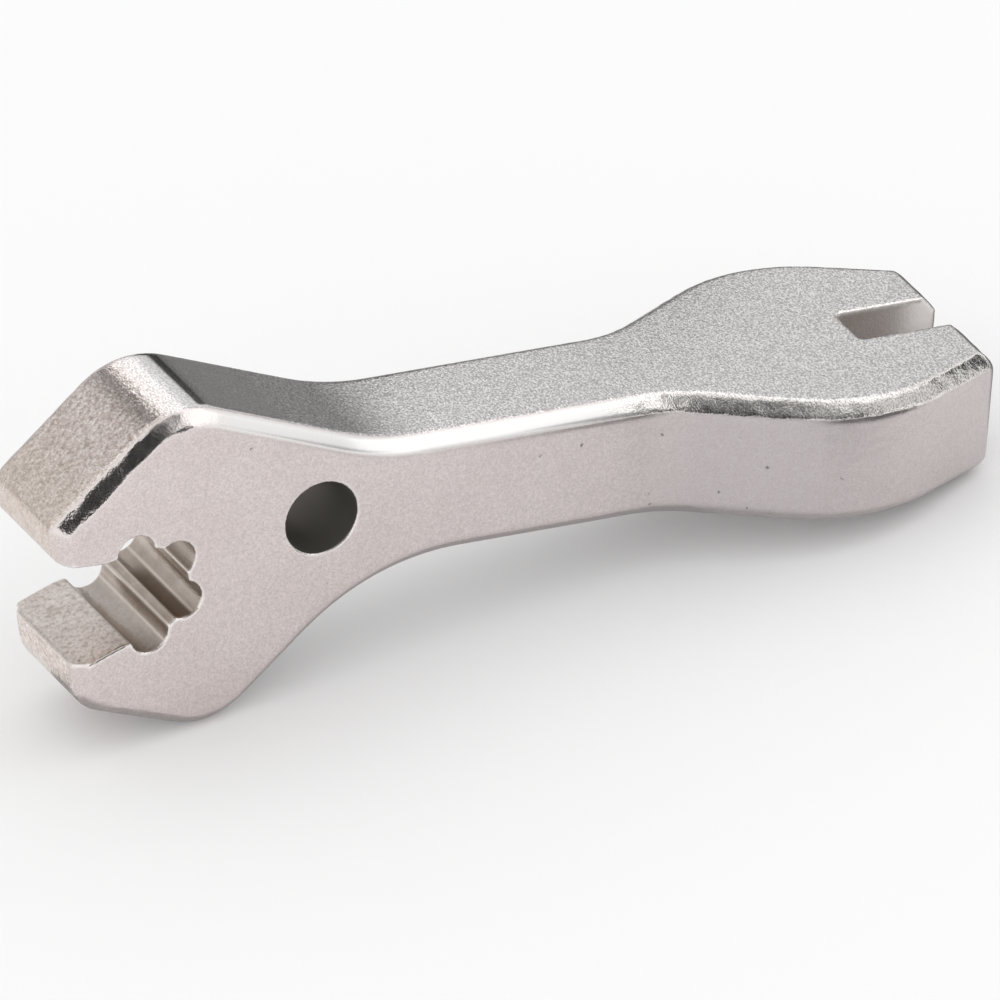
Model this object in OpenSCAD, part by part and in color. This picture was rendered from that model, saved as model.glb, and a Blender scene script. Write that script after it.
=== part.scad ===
// One-piece cast spoke wrench in millimetres. The hang hole's axis is the Y axis, and the middle of
// the depth is at y = 0. The splined head is on the -X side and the slotted head on the +X side.
// The tool stands as it rests on a table, on the heel of one head and the end edge of the other.

/* [Hang hole] */
// Diameter of the round hole through the neck
hole_d = 5; // [3:0.1:6]

/* [Neck and edges] */
// Upright thickness of the neck and of the slotted head
neck_t = 8.55; // [7:0.05:11]
// Depth of the neck and of the splined head, front to back
neck_depth = 9.7; // [8:0.1:13]
// Width of the bevel along the outer edges
bevel = 0.95; // [0.3:0.05:1.15]

/* [Splined head] */
// Distance from the hole axis back to the jaw centre, along the neck
jaw_back = 12.2; // [10.5:0.1:16]
// Distance that the jaw centre lies below the hole axis
jaw_drop = 3.25; // [1:0.05:5]
// Angle that the mouth points below the neck line
mouth_drop = 13; // [0:1:20]
// Distance from the jaw centre to the mouth face
mouth_reach = 5.25; // [4.8:0.05:7]
// Angle from the mouth direction to the two cheeks beside it
cheek_angle = 59; // [52:1:66]
// Distance from the jaw centre to the upper cheek
upper_cheek = 8.25; // [7:0.05:10]
// Distance from the jaw centre to the lower cheek
lower_cheek = 8.6; // [7:0.1:10]
// Angle from the mouth direction to the crown, which slopes down to the neck
crown_angle = 123; // [118:1:128]
// Distance from the jaw centre to the crown
crown = 12.7; // [11.5:0.1:14]
// Angle from the mouth direction to the heel, which slopes up to the neck
heel_angle = 120.5; // [116:0.5:126]
// Distance from the jaw centre to the heel
heel = 12.1; // [11:0.1:14]
// Corner radius at the upper tip of the mouth
tip_r = 1.2; // [1:0.1:2]
// Corner radius at the lower end of the mouth face
chin_r = 2.6; // [1.5:0.1:4]
// Corner radius between the upper cheek and the crown
crown_r = 5.3; // [3:0.1:6]
// Corner radius between the heel and the lower cheek
heel_r = 5; // [3:0.1:6]
// Hollow radius where the crown runs into the neck
crown_blend_r = 17; // [10:0.5:22]
// Hollow radius where the heel runs into the neck
heel_blend_r = 15; // [10:0.5:18]

/* [Spline jaw] */
// Number of lobes in the full spline
lobe_count = 6; // [6:1:6]
// Diameter of the circle that touches the tips of the spline's teeth
tooth_circle_d = 6.4; // [5.5:0.05:7]
// Diameter of the circle that touches the outsides of the lobes
lobe_circle_d = 8.6; // [8:0.05:9.4]
// Diameter of each lobe
lobe_d = 2.6; // [2:0.05:2.8]
// Width between the lips at the throat
throat_w = 6.3; // [5.5:0.05:6.6]
// Distance from the jaw centre to the throat
throat_reach = 2; // [1.5:0.1:2.5]
// Angle at which the upper lip opens from the throat to the mouth
upper_flare = 15; // [8:0.5:22]
// Angle at which the lower lip opens from the throat to the mouth
lower_flare = 9; // [4:0.5:14]
// Corner radius of the upper lip at the mouth face
upper_lip_r = 0.9; // [0.4:0.1:1.2]
// Corner radius of the lower lip at the mouth face
lower_lip_r = 0.3; // [0.2:0.1:0.8]
// Width of the lead-in round the jaw's back edge
lead_in = 0.5; // [0.3:0.05:1]

/* [Slotted head] */
// Distance from the hole axis to the end face
end_reach = 46.5; // [44:0.1:60]
// Width of the end face, between its corners
end_w = 12.65; // [11:0.05:16]
// Distance from the end face back to the head's shoulders
shoulder_back = 10.45; // [9:0.05:12]
// Angle at which the sides close in from the shoulders to the end face
taper_angle = 25; // [18:0.5:28]
// Angle at which the sides open out from the neck to the shoulders
ramp_angle = 28.2; // [24:0.2:34]
// Corner radius at the shoulders
shoulder_r = 11.5; // [6:0.1:12.5]
// Hollow radius where the neck runs into the slotted head
ramp_blend_r = 7.6; // [5:0.1:14]
// Corner radius at the two ends of the end face
end_r = 0.9; // [0.5:0.1:2.5]
// Width of the slot between the flats that grip a square nipple
slot_w = 3.45; // [3.2:0.05:4.2]
// Length of the slot from the end face
slot_l = 7.3; // [6:0.05:9]

/* [Hidden] */
$fn = 64;
finish_color = [0.78, 0.76, 0.75];

// Flat steps in each rounded corner
corner_steps = 10;
// Smallest radius that a corner keeps where the bevel is wider than its round
sharp_r = bevel / 20;
// How far each cut runs past the faces it goes through
overrun = 1;

neck_half = neck_t / 2;
depth_half = neck_depth / 2;
// Half height and half depth of the flats between the bevels
flat_half = neck_half - bevel;
flat_depth_half = depth_half - bevel;
jaw = [-jaw_back, -jaw_drop];
mouth_angle = 180 + mouth_drop;
lobe_reach = (lobe_circle_d - lobe_d) / 2;

function unit(angle) = [cos(angle), sin(angle)];
function left_of(d) = [-d.y, d.x];
function heading(p, q) = let(d = [q.x - p.x, q.y - p.y]) d / norm(d);

// The point where two lines meet. A line is [angle of its normal, distance from the origin].
function meet(a, b) =
    [a[1] * sin(b[0]) - b[1] * sin(a[0]), b[1] * cos(a[0]) - a[1] * cos(b[0])] / sin(b[0] - a[0]);

// A line at an angle and a distance from a point, as [angle, distance from the origin]
function side(angle, distance, from) = [angle, distance + unit(angle) * from];

// A corner of a chain of lines: [x, y, radius]
function corner(p, r) = [p.x, p.y, r];

// The arc at a corner between two directions, moved to the left of them by a step
function corner_arc(c, come, leave, step) =
    let(
        turn = sign(cross(come, leave)),
        bend = acos(come * leave),
        r = max(c[2] - turn * step, sharp_r),
        p = [c.x, c.y] + step * (leave - come) / cross(come, leave),
        out = -turn * left_of(come),
        centre = p - r * tan(bend / 2) * come - r * out,
        first = atan2(out.y, out.x)
    )
    [for (k = [0 : corner_steps]) centre + r * unit(first + turn * bend * k / corner_steps)];

// The arcs at all corners of a chain between its first and its last point
function chain(c, step) = [
    for (i = [1 : len(c) - 2])
        each corner_arc(c[i], heading(c[i - 1], c[i]), heading(c[i], c[i + 1]), step)
];

neck_top = [90, neck_half];
neck_bottom = [270, neck_half];
mouth_side = side(mouth_angle, mouth_reach, jaw);
upper_side = side(mouth_angle - cheek_angle, upper_cheek, jaw);
lower_side = side(mouth_angle + cheek_angle, lower_cheek, jaw);
crown_side = side(mouth_angle - crown_angle, crown, jaw);
heel_side = side(mouth_angle + heel_angle, heel, jaw);
tip_corner = meet(upper_side, mouth_side);
chin_corner = meet(mouth_side, lower_side);
heel_corner = meet(lower_side, heel_side);

// The splined head's upper and lower edges seen from the front, from the neck to the mouth face
upper_edge = [
    [end_reach, neck_half],
    corner(meet(neck_top, crown_side), crown_blend_r),
    corner(meet(crown_side, upper_side), crown_r),
    corner(tip_corner, tip_r),
    chin_corner
];
lower_edge = [
    [end_reach, -neck_half],
    corner(meet(heel_side, neck_bottom), heel_blend_r),
    corner(heel_corner, heel_r),
    corner(chin_corner, chin_r),
    tip_corner
];

// The slotted head's back edge seen from above, from the neck to the end face
shoulder_x = end_reach - shoulder_back;
shoulder_y = end_w / 2 + shoulder_back * tan(taper_angle);
ramp_x = shoulder_x - (shoulder_y - depth_half) / tan(ramp_angle);
back_edge = [
    [0, depth_half],
    corner([ramp_x, depth_half], ramp_blend_r),
    corner([shoulder_x, shoulder_y], shoulder_r),
    corner([end_reach, end_w / 2], end_r),
    [end_reach, 0]
];

// Eight-sided sections of the splined head, from the neck to the mouth face. Each one starts at the
// front face's upper edge and goes round over the top.
splined_sections =
    let(
        upper = chain(upper_edge, 0),
        upper_in = chain(upper_edge, bevel),
        lower = chain(lower_edge, 0),
        lower_in = chain(lower_edge, -bevel)
    )
    [for (k = [0 : len(upper) - 1]) [
        [upper_in[k].x, -depth_half, upper_in[k].y],
        [upper[k].x, -flat_depth_half, upper[k].y],
        [upper[k].x, flat_depth_half, upper[k].y],
        [upper_in[k].x, depth_half, upper_in[k].y],
        [lower_in[k].x, depth_half, lower_in[k].y],
        [lower[k].x, flat_depth_half, lower[k].y],
        [lower[k].x, -flat_depth_half, lower[k].y],
        [lower_in[k].x, -depth_half, lower_in[k].y]
    ]];

// Sections of the slotted head in the same order, from the neck to the end face
slotted_sections =
    let(back = chain(back_edge, 0), back_in = chain(back_edge, -bevel))
    [for (k = [0 : len(back) - 1]) [
        [back[k].x, -back[k].y, flat_half],
        [back_in[k].x, -back_in[k].y, neck_half],
        [back_in[k].x, back_in[k].y, neck_half],
        [back[k].x, back[k].y, flat_half],
        [back[k].x, back[k].y, -flat_half],
        [back_in[k].x, back_in[k].y, -neck_half],
        [back_in[k].x, -back_in[k].y, -neck_half],
        [back[k].x, -back[k].y, -flat_half]
    ]];

// The angle at which the heel's round corner and the slotted head's lower end edge both touch a table
heel_turn = (heel_angle - cheek_angle) / 2;
heel_centre = heel_corner - heel_r / cos(heel_turn) * unit(mouth_angle + cheek_angle + heel_turn);
end_edge = [end_reach - bevel, -neck_half];
rest_reach = end_edge - heel_centre;
rest_tilt = atan2(rest_reach.y, rest_reach.x) + asin(heel_r / norm(rest_reach));

// The whole tool with its bevels, before its openings are cut
module blank() {
    last_splined = len(splined_sections) - 1;
    sections = concat([for (k = [0 : last_splined]) splined_sections[last_splined - k]], slotted_sections);
    n = len(sections[0]);
    last = (len(sections) - 1) * n;
    walls = [
        for (k = [0 : len(sections) - 2])
            for (i = [0 : n - 1])
                let(a = k * n + i, b = k * n + (i + 1) % n)
                [a, b, b + n, a + n]
    ];
    mouth_faces = [[7, 6, 1, 0], [6, 5, 2, 1], [5, 4, 3, 2]];
    end_faces = [for (f = [[0, 1, 2, 3], [0, 3, 4, 7], [4, 5, 6, 7]]) [for (i = f) last + i]];
    polyhedron([for (section = sections) each section], concat(walls, mouth_faces, end_faces));
}

// Stands a flat shape or a cut upright, so that its own Y becomes Z
module upright() {
    rotate([90, 0, 0])
        children();
}

// The open spline with its flared mouth, as a flat shape around the jaw centre
module spline_mouth() {
    // The lips' corners end just outside the mouth face, so that no cut runs along that face
    face = mouth_reach + sharp_r;
    out = face + overrun;
    throat = throat_w / 2;
    upper_lip = throat + (face - throat_reach) * tan(upper_flare);
    lower_lip = throat + (face - throat_reach) * tan(lower_flare);
    wide = upper_lip + mouth_reach;
    upper_start = [throat_reach, -throat];
    lower_start = [throat_reach, throat];
    circle(d = tooth_circle_d);
    for (k = [1 : lobe_count])
        rotate(mouth_angle + (k - 1 / 2) * 360 / lobe_count)
            translate([lobe_reach, 0])
                circle(d = lobe_d);
    rotate(mouth_angle)
        polygon(concat(
            [[0, throat], [0, -throat], upper_start],
            chain([upper_start, corner([face, -upper_lip], upper_lip_r), [face, -wide]], 0),
            [[face, -wide], [out, -wide], [out, wide], [face, wide]],
            chain([[face, wide], corner([face, lower_lip], lower_lip_r), lower_start], 0),
            [lower_start]
        ));
}

module jaw_cut() {
    lobe_r = lobe_circle_d / 2;
    upright()
        translate(jaw)
            linear_extrude(neck_depth + 2 * overrun, center = true)
                spline_mouth();
    // The lead-in is the same shape, smaller than the jaw inside it and larger at the back face
    translate([jaw.x, depth_half - 2 * lead_in, jaw.y])
        rotate([-90, 0, 0])
            mirror([0, 1, 0])
                linear_extrude(3 * lead_in, scale = (lobe_r + 2 * lead_in) / (lobe_r - lead_in))
                    scale((lobe_r - lead_in) / lobe_r)
                        spline_mouth();
}

module hang_hole_cut() {
    upright()
        cylinder(d = hole_d, h = neck_depth + 2 * overrun, center = true);
}

module slot_cut() {
    translate([end_reach - slot_l, -slot_w / 2, -neck_half - overrun])
        cube([slot_l + overrun, slot_w, neck_t + 2 * overrun]);
}

module wrench_body() {
    color(finish_color)
        rotate([0, rest_tilt, 0])
            difference() {
                blank();
                jaw_cut();
                hang_hole_cut();
                slot_cut();
            }
}

wrench_body();
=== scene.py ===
import math
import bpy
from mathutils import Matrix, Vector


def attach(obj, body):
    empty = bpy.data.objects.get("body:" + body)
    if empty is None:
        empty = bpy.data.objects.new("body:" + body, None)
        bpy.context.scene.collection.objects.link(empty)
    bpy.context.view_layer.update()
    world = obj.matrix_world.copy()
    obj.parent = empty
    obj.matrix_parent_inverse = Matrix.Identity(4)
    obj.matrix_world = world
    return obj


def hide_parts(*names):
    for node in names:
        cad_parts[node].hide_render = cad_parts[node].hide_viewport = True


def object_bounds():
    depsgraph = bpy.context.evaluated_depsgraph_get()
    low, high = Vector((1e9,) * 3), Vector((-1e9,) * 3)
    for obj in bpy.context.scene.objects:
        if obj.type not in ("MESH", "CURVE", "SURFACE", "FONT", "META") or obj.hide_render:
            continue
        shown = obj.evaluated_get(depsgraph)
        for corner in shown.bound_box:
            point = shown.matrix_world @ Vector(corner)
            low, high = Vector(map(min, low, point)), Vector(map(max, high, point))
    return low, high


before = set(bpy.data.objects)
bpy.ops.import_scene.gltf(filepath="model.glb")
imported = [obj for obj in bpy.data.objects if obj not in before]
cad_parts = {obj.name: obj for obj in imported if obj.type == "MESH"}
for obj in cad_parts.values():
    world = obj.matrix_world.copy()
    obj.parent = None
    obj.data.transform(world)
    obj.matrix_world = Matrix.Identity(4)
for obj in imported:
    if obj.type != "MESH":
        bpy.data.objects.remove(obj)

from types import SimpleNamespace

import bpy
import numpy as np
from mathutils import Matrix, Vector

cad_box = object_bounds()
scene = bpy.context.scene
scene.view_settings.view_transform = "Standard"

# Sizes of the solid, in millimetres, in the tool's own frame (before it tilts to rest on a table)
MM = 0.001
REST_TILT = math.radians(10.0176)
JAW = np.array([-12.2, -3.25])
MOUTH_ANGLE = math.radians(193.0)
MOUTH_REACH = 5.25
THROAT_HALF = 3.15
THROAT_REACH = 2.0
LOWER_FLARE = math.radians(9)
LIP_START = 1.3
HOLE_R = 2.5
NECK_END = 22.0
NECK_HALF = 4.275
DEPTH_HALF = 4.85
SLOT_HALF = 1.725
SLOT_START = 39.2
END_REACH = 46.5
FLOOR_Z = cad_box[0].z


def to_world(v):
    """A direction or a point of the tool's own frame, in the frame of the table."""
    c, s = math.cos(REST_TILT), math.sin(REST_TILT)
    return Vector((v[0] * c + v[2] * s, v[1], -v[0] * s + v[2] * c))


# Camera at the photograph's angle: scale in pixels a millimetre, shift in pixels, distance in millimetres

CAM_AZ, CAM_EL, CAM_ROLL = (math.radians(a) for a in (-29.513, 27.874, 4.856))
CAM_SCALE = 16.06
CAM_SHIFT = (-213.359, -16.706)
CAM_DISTANCE = 2770.0
CAM_SENSOR = 36.0
CAM_CLIP = (0.1, 10.0)
IMAGE = 1000.0


def make_camera():
    """A long lens, because an almost parallel view fits the photograph best."""
    ce, se = math.cos(CAM_EL), math.sin(CAM_EL)
    back = Vector((math.sin(CAM_AZ) * ce, -math.cos(CAM_AZ) * ce, se))
    right = Vector((math.cos(CAM_AZ), math.sin(CAM_AZ), 0))
    up = back.cross(right)
    axis_x = right * math.cos(CAM_ROLL) + up * math.sin(CAM_ROLL)
    axis_y = up * math.cos(CAM_ROLL) - right * math.sin(CAM_ROLL)
    place = axis_x * (-CAM_SHIFT[0] / CAM_SCALE) + axis_y * (CAM_SHIFT[1] / CAM_SCALE)
    place = place + back * CAM_DISTANCE
    data = bpy.data.cameras.new("camera")
    data.sensor_width = CAM_SENSOR
    data.lens = CAM_SCALE * CAM_DISTANCE / IMAGE * CAM_SENSOR
    data.clip_start, data.clip_end = CAM_CLIP
    cam = bpy.data.objects.new("camera", data)
    scene.collection.objects.link(cam)
    turn = Matrix([to_world(axis_x), to_world(axis_y), to_world(back)]).transposed()
    cam.matrix_world = Matrix.Translation(to_world(place) * MM) @ turn.to_4x4()
    scene.camera = cam


make_camera()


# Zones of the surface

# Reach of the zones, in millimetres: u runs out of the mouth, and w runs across it to the lower lip
NECK_BLEND = 1.0
POCKET_R = 4.7
POCKET_HALF = 4.5
CUT_MARGIN = 0.15
SLOT_MARGIN = (0.3, 0.12)
SLOT_RIM = 0.4
EDGE_WIDTH = 0.5
LIP_BLEND = 0.1
LIP_ROUND = 0.45
LIP_ENDS = 0.4
LIP_EDGE_END = (3.7, 4.3)
MOUTH_FROM = (MOUTH_REACH - 3, MOUTH_REACH - 1.5)
FACE_DEPTH = 0.6
ROOF_FROM = (0.0, 1.8)
SOLE_FROM = (1.2, 2.8)
SOLE_BACK = (-1.1, -0.8)
CROWN_FROM = (-11, -9)
CROWN_TO = (-4, -1)
CROWN_LOW = 4
WARM_TO = (-12, -9.5)
ALONG_START = -18
ALONG_LENGTH = 64

# Where the cheek above the mouth ends and the slotted head begins, as shares of the length
CHEEK_END = (0.13, 0.18)
SLOTTED_FROM = (0.58, 0.66)

# Sizes of a normal's part along y, z or the mouth between which one zone passes into another
RIM_TURN = (0.2, 0.45)
WALL_TURN = (0.3, 0.6)
HOLE_TURN = (0.3, 0.7)
MOUTH_TURN = (0.25, 0.5)
FLAT_TURN = (0.85, 0.97)
BEVEL_FROM = (0.35, 0.6)
BEVEL_TO = (0.82, 0.97)
UP_TURN = (0.0, 0.3)
FACE_TURN = (0.7, 0.9)
LIP_EDGE_FROM = (0.12, 0.3)
LIP_EDGE_TO = (0.85, 0.95)

# Stretches of the jaw's wall with painted shade and old grime: from and to as angles, how much, and how far
# back in y
GRIME_AND_SHADE = ((318, 331, 0.75, 2.0), (302, 311, 0.3, 9.0), (15, 75, 0.25, 9.0))
GRIME_AND_SHADE_BLEND = 1
GRIME_AND_SHADE_FADE = 1.5

# Painted shade and grime at the front of the lowest lobe: how much, how far forward, and from and to as
# angles
SOLE_GRIME_AND_SHADE = 0.3
SOLE_FRONT = (1.0, 4.5)
SOLE_START = (262, 266)
SOLE_END = (294, 297)

# The painted dark line of shade where the lower lip begins: how much, where and how wide
LIP_LINE = 0.8
LIP_LINE_AT = LIP_START + 0.05
LIP_LINE_WIDTH = 0.08

# Angles of the jaw's painted highlight lines
PAINTED_HIGHLIGHT_ANGLES = (296.7, 332.5)


def step(low, high, v):
    """0 below low, 1 above high, and smooth between them."""
    t = np.clip((v - low) / (high - low), 0, 1)
    return t * t * (3 - 2 * t)


def fade(low, high, v):
    """1 below low, 0 above high, and smooth between them."""
    return 1 - step(low, high, v)


def read(mesh, what):
    """One vector for each vertex of a mesh."""
    values = np.zeros(len(mesh.vertices) * 3)
    mesh.vertices.foreach_get(what, values)
    return values.reshape(-1, 3)


def tool_frame(mesh):
    """Places in millimetres and normals of a mesh's vertices, in the tool's own frame."""
    c, s = math.cos(REST_TILT), math.sin(REST_TILT)
    turn = np.array([[c, 0, -s], [0, 1, 0], [s, 0, c]])
    return read(mesh, "co") / MM @ turn.T, read(mesh, "normal") @ turn.T


def grime_and_shade_of(angle, y, u, w):
    """How much painted shade and grime lies at each place of the jaw's wall."""
    stretches = sum(
        share
        * step(a - GRIME_AND_SHADE_BLEND, a + GRIME_AND_SHADE_BLEND, angle)
        * fade(b - GRIME_AND_SHADE_BLEND, b + GRIME_AND_SHADE_BLEND, angle)
        * fade(reach - GRIME_AND_SHADE_FADE, reach + GRIME_AND_SHADE_FADE, y)
        for a, b, share, reach in GRIME_AND_SHADE
    )
    # Painted shade and grime at the front of the lowest lobe
    sole = SOLE_GRIME_AND_SHADE * step(*SOLE_FRONT, -y) * step(*SOLE_START, angle) * fade(*SOLE_END, angle)
    # A painted dark line of shade where the lower lip begins
    line = LIP_LINE * np.exp(-((u - LIP_LINE_AT) / LIP_LINE_WIDTH) ** 2) * (w > 0)
    return np.maximum(np.maximum(stretches, sole), line)


def zones_of(mesh):
    """Weights of the surface zones at each vertex."""
    p, v = tool_frame(mesh)
    x, y, z = p.T
    ny, nz = np.abs(v[:, 1]), np.abs(v[:, 2])
    out = np.array([math.cos(MOUTH_ANGLE), math.sin(MOUTH_ANGLE)])
    across = np.array([-math.sin(MOUTH_ANGLE), math.cos(MOUTH_ANGLE)])
    d = p[:, [0, 2]] - JAW
    u, w = d @ out, d @ across
    angle = np.degrees(np.arctan2(d[:, 1], d[:, 0])) % 360
    facing = v[:, [0, 2]] @ out

    in_mouth = (u > 0) & (u < MOUTH_REACH - CUT_MARGIN) & (np.abs(w) < POCKET_HALF)
    pocket = (np.hypot(u, w) < POCKET_R) | in_mouth
    hole = (np.hypot(x, z) < HOLE_R + CUT_MARGIN) * 1.0
    slot = (x > SLOT_START - SLOT_MARGIN[0]) * (np.abs(y) < SLOT_HALF + SLOT_MARGIN[1]) * 1.0
    cuts = np.clip(pocket + hole + slot, 0, 1)
    walls = pocket * fade(*WALL_TURN, ny)

    plate = step(NECK_END - NECK_BLEND, NECK_END + NECK_BLEND, x)
    rim = fade(*RIM_TURN, ny)
    tilt_head = step(*BEVEL_FROM, ny) * fade(*BEVEL_TO, ny)
    tilt_plate = step(*BEVEL_FROM, nz) * fade(*BEVEL_TO, nz)
    tilt = tilt_head * (1 - plate) + tilt_plate * plate
    near_slot = (x > SLOT_START - SLOT_RIM) & (np.abs(y) < SLOT_HALF + SLOT_RIM)
    top_edge = np.abs(z) > NECK_HALF - EDGE_WIDTH

    above_lip = w - THROAT_HALF - (u - THROAT_REACH) * math.tan(LOWER_FLARE)
    lip_round = (np.abs(above_lip) < LIP_ROUND) & (y < LIP_ROUND - DEPTH_HALF)
    lip_round = lip_round * (u > LIP_START + LIP_ENDS) * (u < MOUTH_REACH - LIP_ENDS) * 1.0
    lip_turn = step(*LIP_EDGE_FROM, ny) * fade(*LIP_EDGE_TO, ny)
    lip_from = (LIP_START - LIP_BLEND, LIP_START + LIP_BLEND)
    return {
        "grain": rim * (1 - plate) + step(*FLAT_TURN, nz) * plate,
        "bevel": tilt * step(*UP_TURN, v[:, 2]),
        "jaw": walls * fade(*lip_from, u),
        "lip": walls * step(*lip_from, u),
        "roof": walls * step(*ROOF_FROM, -w),
        "sole": walls * step(*SOLE_FROM, w) * step(*SOLE_BACK, u),
        # Painted shade and grime on the jaw's wall
        "grime": walls * grime_and_shade_of(angle, y, u, w),
        "lip_round": lip_round,
        "lip_edge": lip_round * lip_turn * fade(*LIP_EDGE_END, u),
        "face": (u > MOUTH_REACH - FACE_DEPTH) * (w < 0) * step(*FACE_TURN, facing),
        # Painted highlight lines along the jaw's wall
        "shine": walls * sum(np.exp(-(angle - a) ** 2) for a in PAINTED_HIGHLIGHT_ANGLES),
        "crown": rim * step(*CROWN_FROM, x) * fade(*CROWN_TO, x) * (z > CROWN_LOW),
        "hole": hole * fade(*HOLE_TURN, ny),
        "slot": slot * fade(*WALL_TURN, nz),
        "warm": rim * fade(*WARM_TO, x),
        "along": np.clip((x - ALONG_START) / ALONG_LENGTH, 0, 1),
        "tilt": tilt * (1 - cuts),
        "edges": 1 - np.clip(pocket + hole, 0, 1),
        "cuts": cuts,
        "mouth": step(*MOUTH_FROM, u) * step(*MOUTH_TURN, ny) * (1 - pocket),
        "rims": ((near_slot & top_edge) | (x > END_REACH - EDGE_WIDTH)) * 1.0,
    }


# The wrench: the solid's mesh with softened edges

VOXEL = 0.00012
WAVE_HEIGHT = 0.00004
WAVE_LENGTH = 0.0014
WAVE_SPREAD = (0.6, 1.7)
WAVE_COUNT = 40
WAVE_SEED = 7

# Passes of smoothing: on all vertices first, and then on the vertices of one zone after another
SMOOTHING = (("all", 2), ("edges", 5), ("band", 36), ("mouth", 40), ("rims", 16), ("lip_round", 14))
SMOOTH_FACTOR = 0.5
WEIGHT_STEPS = 10

# Passes that spread a zone before it guides the smoothing
BAND_PASSES = 12
LIP_PASSES = 6
BAND_GAIN = 2.5

# Passes that even out the bends, and the bend of a sharp edge as a share of the voxel
BEND_PASSES = 5
SHARP_BEND = 0.12

# The wrench's colour attributes, each with the zones in its red, green, blue and alpha
LAYERS = {
    "zones": ("grain", "bevel", "jaw", "hole"),
    "more_zones": ("slot", "warm", "along", "bend"),
    "last_zones": ("roof", "crown", "lip", "sole"),
    # The first two jaw zones hold painted shade with grime, and painted highlight lines.
    "jaw_zones": ("grime", "shine", "lip_edge", "face"),
}


def neighbour_mean(mesh):
    """A function that averages a value over the neighbours of each vertex."""
    n = len(mesh.vertices)
    ends = np.zeros(len(mesh.edges) * 2, dtype=np.int64)
    mesh.edges.foreach_get("vertices", ends)
    a, b = ends.reshape(-1, 2).T
    count = np.bincount(a, minlength=n) + np.bincount(b, minlength=n)
    return lambda values: (np.bincount(a, values[b], n) + np.bincount(b, values[a], n)) / count


def widened(mean, values, passes):
    """A zone's weights, spread over the neighbours in some passes."""
    for _ in range(passes):
        values = mean(values)
    return values


def bends(mesh):
    """How far each vertex stands out of its surroundings: 1 on sharp edges, -1 in sharp grooves."""
    mean = neighbour_mean(mesh)
    p, v = tool_frame(mesh)
    shift = np.stack([mean(p[:, i]) for i in range(3)], 1) - p
    bend = -(shift * v).sum(1) / (VOXEL / MM)
    for _ in range(BEND_PASSES):
        bend = 0.5 * bend + 0.5 * mean(bend)
    return np.clip(bend / SHARP_BEND, -1, 1)


def waves(p):
    """A smooth random height from 0 to 1 at each place, with one main wave length."""
    rng = np.random.default_rng(WAVE_SEED)
    height = np.zeros(len(p))
    for _ in range(WAVE_COUNT):
        k = rng.normal(size=3)
        k *= 2 * math.pi / (WAVE_LENGTH / MM) * rng.uniform(*WAVE_SPREAD) / np.linalg.norm(k)
        height += np.sin(p @ k + rng.uniform(0, 2 * math.pi))
    return np.clip(height / math.sqrt(WAVE_COUNT / 2) / 4 + 0.5, 0, 1)


def applied(piece):
    """Applies a piece's modifiers, and gives its new mesh."""
    graph = bpy.context.evaluated_depsgraph_get()
    mesh = bpy.data.meshes.new_from_object(piece.evaluated_get(graph))
    piece.modifiers.clear()
    piece.data = mesh
    return mesh


def weigh(piece, label, weights):
    """Makes a vertex group, with its weights in a few steps."""
    group = piece.vertex_groups.new(name=label)
    levels = np.round(weights * WEIGHT_STEPS)
    for level in range(1, WEIGHT_STEPS + 1):
        members = np.nonzero(levels == level)[0]
        if len(members):
            group.add(members.tolist(), level / WEIGHT_STEPS, "REPLACE")


def softened_copy(node, name):
    """The solid's mesh in small even faces, with its edges rounded as on a plated casting."""
    piece = bpy.data.objects.new(name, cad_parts[node].data.copy())
    piece.data.materials.clear()
    scene.collection.objects.link(piece)
    remesh = piece.modifiers.new("voxels", "REMESH")
    remesh.mode = "VOXEL"
    remesh.voxel_size = VOXEL
    mesh = applied(piece)

    zones = zones_of(mesh)
    mean = neighbour_mean(mesh)
    band = widened(mean, zones["tilt"], BAND_PASSES)
    zones["band"] = np.clip(BAND_GAIN * band, 0, 1) * (1 - zones["cuts"])
    zones["mouth"] = widened(mean, zones["mouth"], BAND_PASSES)
    zones["lip_round"] = widened(mean, zones["lip_round"], LIP_PASSES)
    for label, passes in SMOOTHING:
        smooth = piece.modifiers.new(label, "SMOOTH")
        smooth.factor = SMOOTH_FACTOR
        smooth.iterations = passes
        if label in zones:
            weigh(piece, label, zones[label])
            smooth.vertex_group = label
    mesh = applied(piece)
    piece.vertex_groups.clear()

    zones = zones_of(mesh)
    rough_cast = 1 - step(*CHEEK_END, zones["along"]) * fade(*SLOTTED_FROM, zones["along"])
    sink = waves(tool_frame(mesh)[0]) * zones["tilt"] * rough_cast * WAVE_HEIGHT
    sunk = read(mesh, "co") - read(mesh, "normal") * sink[:, None]
    mesh.vertices.foreach_set("co", sunk.ravel())
    mesh.update()
    for polygon in mesh.polygons:
        polygon.use_smooth = True
    return piece


def keep_zones(mesh):
    """Writes the zones that the material reads to the mesh's colour attributes."""
    zones = zones_of(mesh)
    zones["bend"] = bends(mesh) * 0.5 + 0.5
    for label, names in LAYERS.items():
        layer = mesh.color_attributes.new(label, "FLOAT_COLOR", "POINT")
        values = np.stack([zones[n] for n in names], 1)
        layer.data.foreach_set("color", values.astype(np.float32).ravel())


wrench = softened_copy("wrench_body", "wrench")
keep_zones(wrench.data)


# Material

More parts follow.
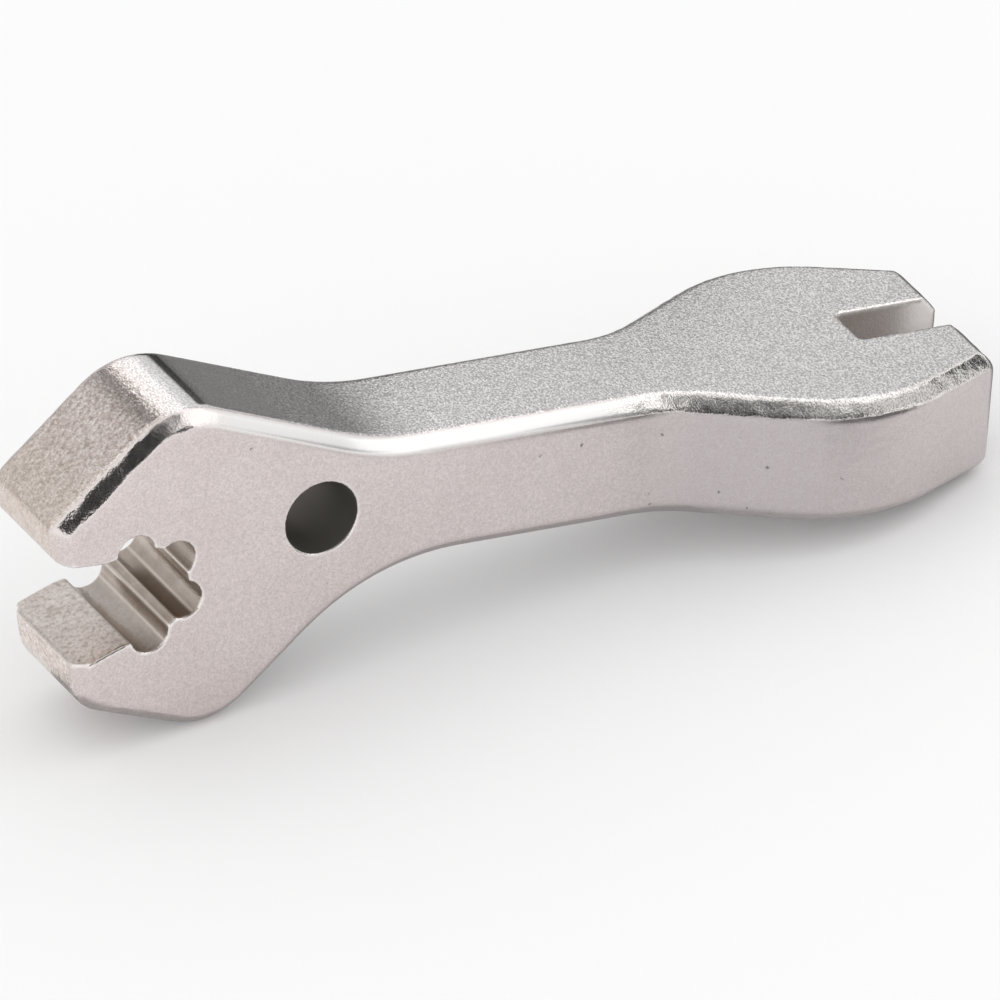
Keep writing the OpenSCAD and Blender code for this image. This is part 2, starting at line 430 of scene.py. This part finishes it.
class Nodes:
    """Short calls for building a node tree."""

    def __init__(self, tree):
        self.tree = tree
        tree.nodes.clear()

    def add(self, kind, inputs=None, **settings):
        """A node with its settings, and with its inputs linked to sockets or set to values."""
        node = self.tree.nodes.new(kind)
        for key, value in settings.items():
            setattr(node, key, value)
        for key, value in (inputs or {}).items():
            if isinstance(value, bpy.types.NodeSocket):
                self.tree.links.new(value, node.inputs[key])
            else:
                node.inputs[key].default_value = value
        return node

    def math(self, operation, a, b):
        return self.add("ShaderNodeMath", {0: a, 1: b}, operation=operation).outputs[0]

    def times(self, a, b):
        return self.math("MULTIPLY", a, b)

    def plus(self, a, b):
        return self.math("ADD", a, b)

    def scaled(self, vector, scale):
        return self.add("ShaderNodeMapping", {"Vector": vector, "Scale": scale}).outputs[0]

    def noise(self, vector, size, detail, rough=0.5):
        """Noise with one main size, in metres."""
        inputs = {"Vector": vector, "Scale": 1 / size, "Detail": detail, "Roughness": rough}
        return self.add("ShaderNodeTexNoise", inputs).outputs["Fac"]

    def spread(self, value, low, high, to_low=0.0, to_high=1.0):
        """A number that runs from to_low to to_high while a value runs from low to high."""
        inputs = {"Value": value, "From Min": low, "From Max": high, "To Min": to_low, "To Max": to_high}
        return self.add("ShaderNodeMapRange", inputs).outputs[0]

    def mix(self, share, a, b):
        """The number a, with a share of the number b."""
        return self.add("ShaderNodeMix", {0: share, 2: a, 3: b}, data_type="FLOAT").outputs[0]

    def tint(self, share, a, b):
        """The colour a, with a share of the colour b."""
        return self.add("ShaderNodeMix", {0: share, 6: a, 7: b}, data_type="RGBA").outputs[2]

    def coated(self, base, coats):
        """A colour with coats laid over it in turn, each with its share."""
        for share, coat in coats:
            base = self.tint(share, base, coat)
        return base


def rgb(red, green, blue):
    return (red, green, blue, 1.0)


FRONT_DARK = rgb(0.80, 0.71, 0.69)
FRONT_PALE = rgb(0.85, 0.765, 0.745)
# Painted shade: the front's colour darkens towards the slotted end.
FRONT_FAR_SHADE = rgb(0.68, 0.63, 0.63)
# Painted shade: the front is darker and greyer on the ramp up to the slotted head.
FRONT_RAMP_SHADE = rgb(0.575, 0.535, 0.54)
FRONT_SPECK = rgb(0.45, 0.40, 0.39)
GRAIN_DARK = rgb(0.46, 0.447, 0.442)
GRAIN_PALE = rgb(0.98, 0.955, 0.945)
GRAIN_SHADE = rgb(0.50, 0.47, 0.48)
# Painted highlight: the crown's grain is paler where its bright band of reflection falls.
CROWN_PAINTED_HIGHLIGHT = rgb(0.90, 0.875, 0.865)
WARM_DARK = rgb(0.76, 0.665, 0.62)
WARM_PALE = rgb(0.90, 0.805, 0.765)
WARM_SPECK = rgb(0.42, 0.35, 0.32)
WARM_GLINT = rgb(1.0, 0.94, 0.92)
MOUTH_TAN = rgb(0.80, 0.67, 0.52)
# Painted shade: the upper jaw's end face, which looks out of the mouth, is darker.
FACE_PAINTED_SHADE = rgb(0.48, 0.40, 0.36)
LIP_DARK = rgb(0.83, 0.735, 0.69)
LIP_PALE = rgb(0.93, 0.845, 0.80)
LIP_SHADE = rgb(0.42, 0.36, 0.31)
LIP_GLINT = rgb(1.0, 0.94, 0.90)
LIP_SPECK = rgb(0.42, 0.36, 0.32)
# The lip's front edge is paler: wear, and a painted highlight along it.
LIP_WORN_AND_HIGHLIGHT = rgb(0.90, 0.87, 0.85)
BEVEL_NECK = rgb(0.80, 0.785, 0.77)
BEVEL_SLOTTED = rgb(0.95, 0.92, 0.89)
BEVEL_CHEEK = rgb(0.82, 0.76, 0.74)
BEVEL_SPECK = rgb(0.27, 0.245, 0.23)
JAW_DARK = rgb(0.50, 0.42, 0.36)
JAW_PALE = rgb(0.62, 0.54, 0.485)
# Painted light: the lowest lobe of the jaw, open to the light, is paler.
JAW_SOLE_PAINTED_LIGHT = rgb(0.64, 0.58, 0.545)
JAW_SPECK = rgb(0.30, 0.25, 0.21)
# Paler colour on the jaw's sharp edges, which are worn and have painted highlights, and on its painted
# highlight lines.
JAW_WORN_AND_HIGHLIGHT = rgb(0.95, 0.88, 0.80)
# Painted shade: the roof of the jaw is darker.
ROOF_PAINTED_SHADE = rgb(0.25, 0.21, 0.19)
SLOT_WALL = rgb(0.78, 0.74, 0.715)
# Painted shade: the inside of the hole is darker.
HOLE_PAINTED_SHADE = rgb(0.27, 0.253, 0.235)
# Painted shade and grime on the jaw's wall, with a painted dark line of shade where the lower lip begins.
GRIME_AND_SHADE_DARK = rgb(0.12, 0.095, 0.07)
# Painted shade: grooves and creases are darker.
GROOVE_PAINTED_SHADE = rgb(0.22, 0.175, 0.145)
# Paler colour on sharp edges: wear, and painted highlights.
EDGE_WORN_AND_HIGHLIGHT = rgb(0.93, 0.90, 0.88)
PIT_DARK = rgb(0.22, 0.19, 0.18)

# Sizes of the patterns in metres, and how far the brushed streaks and the specks are stretched
CLOUD_SIZE = 0.006
BLOTCH_SIZE = 0.0012
STREAK_SIZE = 0.0004
MOTTLE_SIZE = 0.0003
FINE_SIZE = 0.00012
SPECK_SIZE = 0.00011
STREAK_SCALE = (0.12, 1.0, 1.0)
SPECK_SCALE = (1.0, 0.6, 1.0)

# Ranges of noise that are spread over a pattern's whole contrast
NOISE_WIDE = (0.3, 0.7)
NOISE_MIDDLE = (0.35, 0.65)
NOISE_LOW = (0.3, 0.6)
NOISE_GRAIN = (0.37, 0.63)

# Pits: metres between them, how ragged they are, their edge, and which of them are there
PIT_SPACING = 0.0014
PIT_RAGGED = 0.14
PIT_EDGE = (0.03, 0.09)
PIT_CHOICE = (0.86, 0.88)

# Stretches of the length, as shares of it: the ramp up to the slotted head, where the front is darkened as
# painted shade, and the tan at the mouth
RAMP_FROM = (0.60, 0.69)
RAMP_TO = (0.90, 0.78)
TAN_FROM = (0.07, 0.0)

# Height of the bump in metres, and each zone's shares of it
BUMP_HEIGHT = 0.00005
GRAIN_SPECK_BUMP = 0.4
WARM_GRAIN_BUMP = 0.5
WARM_MOTTLE_BUMP = 0.7
CROWN_BUMP = 0.1
LIP_BUMP = 0.35
FRONT_FINE_BUMP = 0.22
FRONT_STREAK_BUMP = 0.14
BEVEL_MOTTLE_BUMP = 0.35
BEVEL_SPECK_BUMP = 0.3
CHEEK_BUMP = 0.8


def read_zones(t):
    """Sockets with the weights of the surface zones."""
    zones = {}
    for label, names in LAYERS.items():
        layer = t.add("ShaderNodeVertexColor", layer_name=label)
        parts = t.add("ShaderNodeSeparateColor", {"Color": layer.outputs["Color"]})
        zones.update(zip(names, [*parts.outputs, layer.outputs["Alpha"]]))
    zones["slotted"] = t.spread(zones["along"], *SLOTTED_FROM)
    zones["cheek"] = t.spread(zones["along"], CHEEK_END[1], CHEEK_END[0])
    return SimpleNamespace(**zones)


def make_patterns(t, z):
    """Sockets with the patterns: noise of several sizes, and pits that stay off the bevels."""
    where = t.add("ShaderNodeTexCoord").outputs["Object"]
    n = SimpleNamespace(
        cloud=t.noise(where, CLOUD_SIZE, 3.0),
        blotch=t.noise(where, BLOTCH_SIZE, 2.0),
        streak=t.noise(t.scaled(where, STREAK_SCALE), STREAK_SIZE, 2.0),
        mottle=t.noise(where, MOTTLE_SIZE, 2.0, 0.6),
        fine=t.noise(where, FINE_SIZE, 1.0),
        speck=t.noise(t.scaled(where, SPECK_SCALE), SPECK_SIZE, 1.0),
    )
    cell = t.add("ShaderNodeTexVoronoi", {"Vector": where, "Scale": 1 / PIT_SPACING, "Randomness": 1.0})
    chance = t.add("ShaderNodeSeparateColor", {"Color": cell.outputs["Color"]}).outputs[0]
    ragged = t.times(t.math("SUBTRACT", n.speck, 0.5), PIT_RAGGED)
    inside = t.spread(t.plus(cell.outputs["Distance"], ragged), *PIT_EDGE, 1.0, 0.0)
    pit = t.times(inside, t.spread(chance, *PIT_CHOICE))
    n.pit = t.times(pit, t.math("SUBTRACT", 1.0, z.bevel))
    return n


def metal_colour(t, z, n):
    """Each zone's own colour, and coats of painted shade and painted highlight, all laid over the front's.
    Each coat has a share first.
    """
    # Painted shade: the front darkens on the ramp up to the slotted head.
    ramp_shade = t.times(t.spread(z.along, *RAMP_FROM), t.spread(z.along, *RAMP_TO, 0.0, 0.85))
    front = t.coated(t.tint(t.spread(n.cloud, *NOISE_MIDDLE), FRONT_DARK, FRONT_PALE), (
        # Painted shade: the front darkens towards the slotted end.
        (z.along, FRONT_FAR_SHADE),
        (ramp_shade, FRONT_RAMP_SHADE),
        (t.spread(n.fine, *NOISE_WIDE, 0.0, 0.45), FRONT_SPECK),
        (t.spread(n.mottle, *NOISE_WIDE, 0.0, 0.2), FRONT_SPECK),
    ))
    grain = t.coated(t.tint(t.spread(n.speck, *NOISE_GRAIN), GRAIN_DARK, GRAIN_PALE), (
        (t.spread(n.mottle, *NOISE_MIDDLE, 0.0, 0.25), GRAIN_SHADE),
        # Painted highlight: a paler crown.
        (t.times(z.crown, 0.5), CROWN_PAINTED_HIGHLIGHT),
    ))
    warm = t.coated(t.tint(t.spread(n.blotch, *NOISE_WIDE), WARM_DARK, WARM_PALE), (
        (t.spread(n.mottle, 0.32, 0.48, 0.75, 0.0), WARM_SPECK),
        (t.spread(n.mottle, 0.54, 0.62, 0.0, 0.8), WARM_GLINT),
        (t.spread(n.speck, *NOISE_LOW, 0.5, 0.0), WARM_SPECK),
        (t.spread(z.along, *TAN_FROM, 0.0, 0.22), MOUTH_TAN),
        # Painted shade on the upper jaw's end face.
        (t.times(z.face, 0.3), FACE_PAINTED_SHADE),
    ))
    lip = t.coated(t.tint(t.spread(n.blotch, *NOISE_WIDE), LIP_DARK, LIP_PALE), (
        (t.spread(n.mottle, 0.32, 0.50, 0.6, 0.0), LIP_SHADE),
        (t.spread(n.mottle, 0.55, 0.64, 0.0, 0.6), LIP_GLINT),
        (t.spread(n.speck, *NOISE_LOW, 0.3, 0.0), LIP_SPECK),
    ))
    bevel = t.coated(t.tint(z.slotted, BEVEL_NECK, BEVEL_SLOTTED), (
        (z.cheek, BEVEL_CHEEK),
        (t.times(z.slotted, t.spread(n.speck, 0.54, 0.38, 0.0, 0.5)), BEVEL_SPECK),
    ))
    jaw = t.coated(t.tint(t.spread(n.blotch, *NOISE_WIDE), JAW_DARK, JAW_PALE), (
        # Painted light: the lowest lobe is paler.
        (t.times(z.sole, 0.7), JAW_SOLE_PAINTED_LIGHT),
        (t.spread(n.mottle, *NOISE_WIDE, 0.0, 0.3), JAW_SPECK),
    ))
    # Wear and painted highlights on the jaw's sharp edges, with the painted highlight lines along its wall.
    worn_and_highlight = t.times(z.jaw, t.spread(z.bend, 0.55, 0.64, 0.0, 0.4))
    worn_and_highlight = t.math("MAXIMUM", worn_and_highlight, t.times(z.shine, 0.75))
    return t.coated(front, (
        (z.grain, grain),
        (z.warm, warm),
        (z.lip, lip),
        (z.bevel, bevel),
        (z.jaw, jaw),
        (z.slot, SLOT_WALL),
        # Painted shade and grime in the jaw.
        (z.grime, GRIME_AND_SHADE_DARK),
        (worn_and_highlight, JAW_WORN_AND_HIGHLIGHT),
        # Painted shade in grooves and creases.
        (t.spread(z.bend, 0.40, 0.15, 0.0, 0.55), GROOVE_PAINTED_SHADE),
        # Wear and painted highlights on sharp edges.
        (t.spread(z.bend, 0.65, 0.9, 0.0, 0.8), EDGE_WORN_AND_HIGHLIGHT),
        # Painted shade on the jaw's roof.
        (t.times(z.roof, 0.4), ROOF_PAINTED_SHADE),
        # Painted shade inside the hole.
        (z.hole, HOLE_PAINTED_SHADE),
        # Wear and a painted highlight on the lip's front edge.
        (z.lip_edge, LIP_WORN_AND_HIGHLIGHT),
        (t.times(n.pit, 0.7), PIT_DARK),
    ))


def metal_roughness(t, z, n):
    """The front's brushed roughness, and over it the roughness of each zone in turn."""
    rough = t.spread(n.streak, *NOISE_WIDE, 0.30, 0.40)
    zones = (
        (z.grain, 0.18),
        (z.warm, 0.22),
        (z.bevel, 0.17),
        (z.crown, 0.13),
        (z.jaw, 0.28),
        (z.lip, 0.30),
        (z.hole, 0.6),
        (z.lip_edge, 0.10),
    )
    for share, level in zones:
        rough = t.mix(share, rough, level)
    return rough


def metal_height(t, z, n):
    """Height of the fine relief, as a share of the bump. The hole and the lip's front edge, which is worn
    and has a painted highlight, have none.
    """
    grain = t.times(n.speck, GRAIN_SPECK_BUMP)
    warm = t.plus(t.times(grain, WARM_GRAIN_BUMP), t.times(n.mottle, WARM_MOTTLE_BUMP))
    grain = t.mix(z.warm, grain, warm)
    grain = t.mix(z.crown, grain, t.times(grain, CROWN_BUMP))
    grain = t.mix(z.lip, grain, t.times(grain, LIP_BUMP))
    front = t.plus(t.times(n.fine, FRONT_FINE_BUMP), t.times(n.streak, FRONT_STREAK_BUMP))
    height = t.mix(z.grain, front, grain)
    cast = t.plus(t.times(n.mottle, BEVEL_MOTTLE_BUMP), t.times(n.speck, BEVEL_SPECK_BUMP))
    bevel = t.times(cast, t.math("MAXIMUM", z.slotted, t.times(z.cheek, CHEEK_BUMP)))
    height = t.mix(z.bevel, height, bevel)
    height = t.mix(t.math("MAXIMUM", z.hole, z.lip_edge), height, 0.0)
    return t.math("SUBTRACT", height, n.pit)


def metal_material():
    material = bpy.data.materials.new("plated_steel")
    material.use_nodes = True
    t = Nodes(material.node_tree)
    z = read_zones(t)
    n = make_patterns(t, z)
    height = metal_height(t, z, n)
    bump = t.add("ShaderNodeBump", {"Height": height, "Strength": 1.0, "Distance": BUMP_HEIGHT})
    shader = t.add("ShaderNodeBsdfPrincipled", {
        "Base Color": metal_colour(t, z, n),
        "Roughness": metal_roughness(t, z, n),
        "Metallic": 1.0,
        "Normal": bump.outputs[0],
    })
    t.add("ShaderNodeOutputMaterial", {"Surface": shader.outputs[0]})
    return material


wrench.data.materials.append(metal_material())
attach(wrench, "root")
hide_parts("wrench_body")


# Floor, cards and light

FLOOR_HALF = 1.2
FLOOR_GREY = 0.96
FLOOR_ROUGH = 0.9
CENTRE = Vector((0.014, 0, 0))
LOW = FLOOR_Z / MM + 0.1

# Far cards: the middle as an azimuth (0 is behind the tool, 90 is on its right) and an elevation, the width
# and height as angles, all in degrees, then the distance in metres and the grey at the low and high edge
CARDS = (
    ("back_grey", 5, 20, 120, 64, 0.6, 0.58, 0.78),
    ("back_bright", 36, 24, 20, 18, 0.55, 0.8, 0.8),
    ("back_white", 19, 37, 22, 18, 0.5, 1.4, 1.4),
    ("back_shade", -11, 40, 24, 26, 0.51, 0.44, 0.44),
    ("back_dark", -5, 40, 11, 20, 0.5, 0.14, 0.14),
    ("top_bright", 62, 58, 44, 20, 0.5, 1.5, 1.5),
    ("over_dark", -176, 68, 40, 24, 0.5, 0.42, 0.42),
    ("edge_dark", 160, 34, 20, 18, 0.45, 0.03, 0.03),
)

# Near cards: the grey at the low and high edge, then four corners in millimetres
NEAR_CARDS = (
    ("camera_dark", 0.03, 0.03, (-239, -405, 144), (-367, -182, 273), (-100, -171, 395), (-35, -394, 242)),
    ("camera_grey", 0.15, 0.15, (-35, -394, 242), (-100, -171, 395), (45, -165, 462), (75, -388, 294)),
    ("low_dark", 0.38, 0.14, (20, 50, LOW), (62, 50, LOW), (62, 50, 17), (20, 50, 17)),
    ("low_right", 0.15, 0.15, (62, 50, LOW), (110, 50, LOW), (110, 50, 3), (62, 50, 3)),
    ("lip_grey", 0.60, 0.60, (-18, 14, 0), (-4, 14, 0), (-4, 14, 13), (-18, 14, 13)),
    ("end_dark", 0.12, 0.12, (50, -4, LOW), (110, -4, LOW), (110, 50, LOW), (50, 50, LOW)),
    ("line_dark", 0.02, 0.02, (16, 49.9, 15), (38, 49.9, 15), (38, 49.9, 27), (16, 49.9, 27)),
    ("right_grey", 0.70, 1.10, (100, -26, LOW), (100, 20, LOW), (100, 20, 36), (100, -26, 36)),
    ("arc_dark", 0.05, 0.60, (34, -24, 8), (45, -20.2, 5), (45, -20.2, 22), (34, -24, 24)),
    ("arc_grey", 0.50, 0.75, (45, -20.2, 5), (66, -13, 0), (66, -13, 18), (45, -20.2, 22)),
    ("corner_dark", 0.04, 0.04, (60, -9.5, -4), (60, -4, -4), (60, -4, 7), (60, -9.5, 7)),
    ("front_dark", 0.03, 0.03, (30, -36, LOW), (64, -30, LOW), (64, -30, 5), (30, -36, 5)),
    # A dark card just under the tool, seen only in reflections: a painted shadow under it.
    ("under_dark", 0.36, 0.36, (-20, -4.5, LOW), (72, -4.5, LOW), (72, 5, LOW), (-20, 5, LOW)),
)

# The key light: its place and the side of its square in metres, and its power in watts
KEY_PLACE = Vector((0.42, -0.22, 0.42))
KEY_SIDE = 0.34
KEY_POWER = 0.12


def grey(level):
    return rgb(level, level, level)


def plane(name, corners):
    """One flat face of the stage."""
    mesh = bpy.data.meshes.new(name)
    mesh.from_pydata([tuple(c) for c in corners], [], [(0, 1, 2, 3)])
    obj = bpy.data.objects.new(name, mesh)
    scene.collection.objects.link(obj)
    return obj


def make_floor():
    """A dull white floor under the tool."""
    sides = ((-1, -1), (1, -1), (1, 1), (-1, 1))
    floor = plane("floor", [(x * FLOOR_HALF, y * FLOOR_HALF, FLOOR_Z) for x, y in sides])
    material = bpy.data.materials.new("floor_white")
    material.use_nodes = True
    shader = material.node_tree.nodes["Principled BSDF"]
    shader.inputs["Base Color"].default_value = grey(FLOOR_GREY)
    shader.inputs["Roughness"].default_value = FLOOR_ROUGH
    shader.inputs["Specular IOR Level"].default_value = 0.0
    floor.data.materials.append(material)


def shade_card(obj, low, high):
    """Hides a card from all but reflections, and gives it a grey that runs from its low to its high edge."""
    obj.visible_camera = obj.visible_diffuse = obj.visible_shadow = False
    material = bpy.data.materials.new(obj.name)
    material.use_nodes = True
    t = Nodes(material.node_tree)
    place = t.add("ShaderNodeTexCoord").outputs["Generated"]
    height = t.add("ShaderNodeSeparateXYZ", {0: place}).outputs[2]
    shade = t.tint(height, grey(low), grey(high))
    glow = t.add("ShaderNodeEmission", {"Color": shade, "Strength": 1.0})
    t.add("ShaderNodeOutputMaterial", {"Surface": glow.outputs[0]})
    obj.data.materials.append(material)


def far_card(name, azimuth, elevation, width, height, distance, low, high):
    """A card that faces the tool from some way off."""
    a, e = math.radians(azimuth), math.radians(elevation)
    out = Vector((math.sin(a) * math.cos(e), math.cos(a) * math.cos(e), math.sin(e)))
    side = Vector((math.cos(a), -math.sin(a), 0))
    up = side.cross(out)
    x = side * distance * math.tan(math.radians(width / 2))
    y = up * distance * math.tan(math.radians(height / 2))
    middle = CENTRE + out * distance
    obj = plane(name, [middle - x - y, middle + x - y, middle + x + y, middle - x + y])
    shade_card(obj, low, high)


def near_card(name, low, high, *corners):
    """A card close to the tool."""
    shade_card(plane(name, [tuple(v * MM for v in c) for c in corners]), low, high)


def make_world():
    """White from all sides: it lights the tool at a plain level, and is the background as well."""
    world = bpy.data.worlds.new("studio")
    scene.world = world
    world.use_nodes = True
    t = Nodes(world.node_tree)
    white = t.add("ShaderNodeBackground", {"Color": grey(1.0), "Strength": 1.0})
    t.add("ShaderNodeOutputWorld", {"Surface": white.outputs[0]})


def make_key_light():
    """A soft square lamp that points at the tool."""
    data = bpy.data.lights.new("key", "AREA")
    data.shape = "SQUARE"
    data.size = KEY_SIDE
    data.energy = KEY_POWER
    lamp = bpy.data.objects.new("key", data)
    scene.collection.objects.link(lamp)
    lamp.location = KEY_PLACE
    lamp.rotation_mode = "QUATERNION"
    lamp.rotation_quaternion = KEY_PLACE.to_track_quat("Z", "Y")


make_floor()
for values in CARDS:
    far_card(*values)
for values in NEAR_CARDS:
    near_card(*values)
make_world()
make_key_light()
